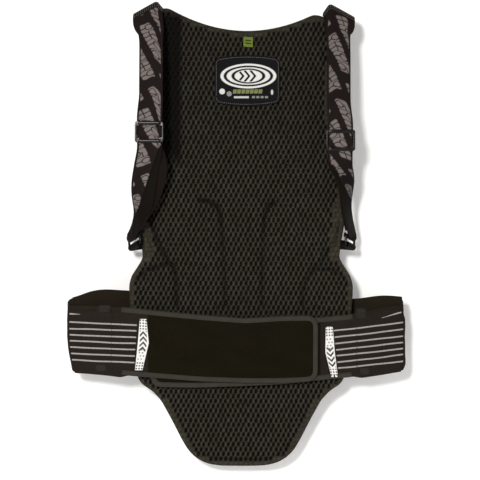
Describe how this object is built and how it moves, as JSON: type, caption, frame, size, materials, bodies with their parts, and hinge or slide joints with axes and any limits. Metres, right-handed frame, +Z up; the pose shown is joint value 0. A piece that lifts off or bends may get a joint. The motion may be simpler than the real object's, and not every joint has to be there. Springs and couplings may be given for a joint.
{
  "type": "back protector",
  "caption": "Padded back protector with a mesh-lined panel in three flexing sections, overlapping outer plates, two shoulder straps and a kidney belt.",
  "frame": {"origin": "on the lining at the spine, at the height of the belt's centre, where the wearer's back rests", "axes": "+Z up the spine to the head, +Y out through the plates, away from the wearer, +X to the side on which the upper belt flap ends"},
  "size_m": [0.4234, 0.0742, 0.5959],
  "materials": {
    "spacer_mesh": "three-layer air mesh, matt",
    "foam": "closed-cell foam, matt",
    "cover_cloth": "plain woven nylon",
    "edge_tape": "folded binding tape",
    "hard_shell": "moulded, satin",
    "rivet_steel": "satin",
    "strap_webbing": "woven webbing with a grey print",
    "buckle_plastic": "moulded, semi-gloss",
    "label_cloth": "woven label with a pale print",
    "tag_cloth": "woven tag",
    "belt_cloth": "knitted elastic cloth",
    "velour": "loop velour, very matt",
    "hook_tape": "hook tape",
    "striped_elastic": "ribbed elastic with white stripes",
    "patch_cloth": "white woven patch"
  },
  "bodies": {
    "lumbar_panel": {"left_rear_wing": "belt_cloth", "lumbar_binding_left": "edge_tape", "lumbar_binding_right": "edge_tape", "lumbar_foam_core": "foam", "lumbar_lining": "spacer_mesh", "lumbar_outer_cover": "cover_cloth", "lumbar_plate_1": "hard_shell", "lumbar_plate_1_rivet_left": "rivet_steel", "lumbar_plate_1_rivet_right": "rivet_steel", "lumbar_plate_2": "hard_shell", "lumbar_plate_2_rivet_left": "rivet_steel", "lumbar_plate_2_rivet_right": "rivet_steel", "right_rear_wing": "belt_cloth"},
    "thoracic_panel": {"left_ring_tab": "strap_webbing", "left_strap_anchor": "strap_webbing", "neck_label": "label_cloth", "right_ring_tab": "strap_webbing", "right_strap_anchor": "strap_webbing", "size_tag": "tag_cloth", "thoracic_binding": "edge_tape", "thoracic_foam_core": "foam", "thoracic_lining": "spacer_mesh", "thoracic_outer_cover": "cover_cloth", "thoracic_plate_1": "hard_shell", "thoracic_plate_1_rivet_left": "rivet_steel", "thoracic_plate_1_rivet_right": "rivet_steel", "thoracic_plate_2": "hard_shell", "thoracic_plate_2_rivet_left": "rivet_steel", "thoracic_plate_2_rivet_right": "rivet_steel", "thoracic_plate_3": "hard_shell", "thoracic_plate_3_rivet_left": "rivet_steel", "thoracic_plate_3_rivet_right": "rivet_steel", "thoracic_plate_4": "hard_shell", "thoracic_plate_4_rivet_left": "rivet_steel", "thoracic_plate_4_rivet_right": "rivet_steel"},
    "tail_panel": {"tail_binding": "edge_tape", "tail_foam_core": "foam", "tail_lining": "spacer_mesh", "tail_outer_cover": "cover_cloth", "tail_plate": "hard_shell"},
    "left_strap": {"left_strap": "strap_webbing", "left_strap_return": "strap_webbing"},
    "right_strap": {"right_strap": "strap_webbing", "right_strap_return": "strap_webbing"},
    "left_slider": {"left_slider": "buckle_plastic"},
    "right_slider": {"right_slider": "buckle_plastic"},
    "left_ring": {"left_ring": "buckle_plastic"},
    "right_ring": {"right_ring": "buckle_plastic"},
    "left_belt_flap": {"left_elastic": "striped_elastic", "left_flap": "belt_cloth", "left_flap_binding": "edge_tape", "left_flap_face": "velour", "left_hook_panel": "hook_tape", "left_patch": "patch_cloth"},
    "right_belt_flap": {"right_elastic": "striped_elastic", "right_flap": "belt_cloth", "right_flap_binding": "edge_tape", "right_loop_panel": "velour", "right_patch": "patch_cloth"}
  },
  "joints": [
    {"name": "thoracic_flex", "type": "hinge", "parent": "lumbar_panel", "child": "thoracic_panel", "pos_m": [0, -0.0015, 0.107], "axis": [1, 0, 0], "range_deg": [-5, 15], "stiffness_Nm_per_rad": 30},
    {"name": "tail_flex", "type": "hinge", "parent": "lumbar_panel", "child": "tail_panel", "pos_m": [0, -0.006, -0.0585], "axis": [-1, 0, 0], "range_deg": [-5, 15], "stiffness_Nm_per_rad": 12},
    {"name": "left_strap_swing", "type": "hinge", "parent": "thoracic_panel", "child": "left_strap", "pos_m": [-0.1355, -0.002, 0.134], "axis": [-0.0611, -0.0066, -0.9981], "range_deg": [-20, 30]},
    {"name": "right_strap_swing", "type": "hinge", "parent": "thoracic_panel", "child": "right_strap", "pos_m": [0.1385, -0.002, 0.134], "axis": [-0.0414, 0.0066, 0.9991], "range_deg": [-20, 30]},
    {"name": "left_slider_travel", "type": "slide", "parent": "left_strap", "child": "left_slider", "axis": [0, 0, 1], "range_m": [-0.014, 0.014]},
    {"name": "right_slider_travel", "type": "slide", "parent": "right_strap", "child": "right_slider", "axis": [0, 0, 1], "range_m": [-0.014, 0.014]},
    {"name": "left_ring_swivel", "type": "hinge", "parent": "left_strap", "child": "left_ring", "pos_m": [-0.1355, -0.002, 0.134], "axis": [0.4381, -0.8669, 0.2378], "range_deg": [-10, 10]},
    {"name": "right_ring_swivel", "type": "hinge", "parent": "right_strap", "child": "right_ring", "pos_m": [0.1385, -0.002, 0.134], "axis": [0.3598, 0.9198, -0.1564], "range_deg": [-10, 10]},
    {"name": "left_belt_open", "type": "hinge", "parent": "lumbar_panel", "child": "left_belt_flap", "pos_m": [-0.219, -0.002, 0], "axis": [0, 0, -1], "range_deg": [0, 170]},
    {"name": "right_belt_open", "type": "hinge", "parent": "lumbar_panel", "child": "right_belt_flap", "pos_m": [0.208, -0.002, 0], "axis": [0, 0, 1], "range_deg": [0, 51]}
  ],
  "couplings": [
    {"joint": "right_belt_open", "follows": "left_belt_open", "ratio": 0.3}
  ]
}
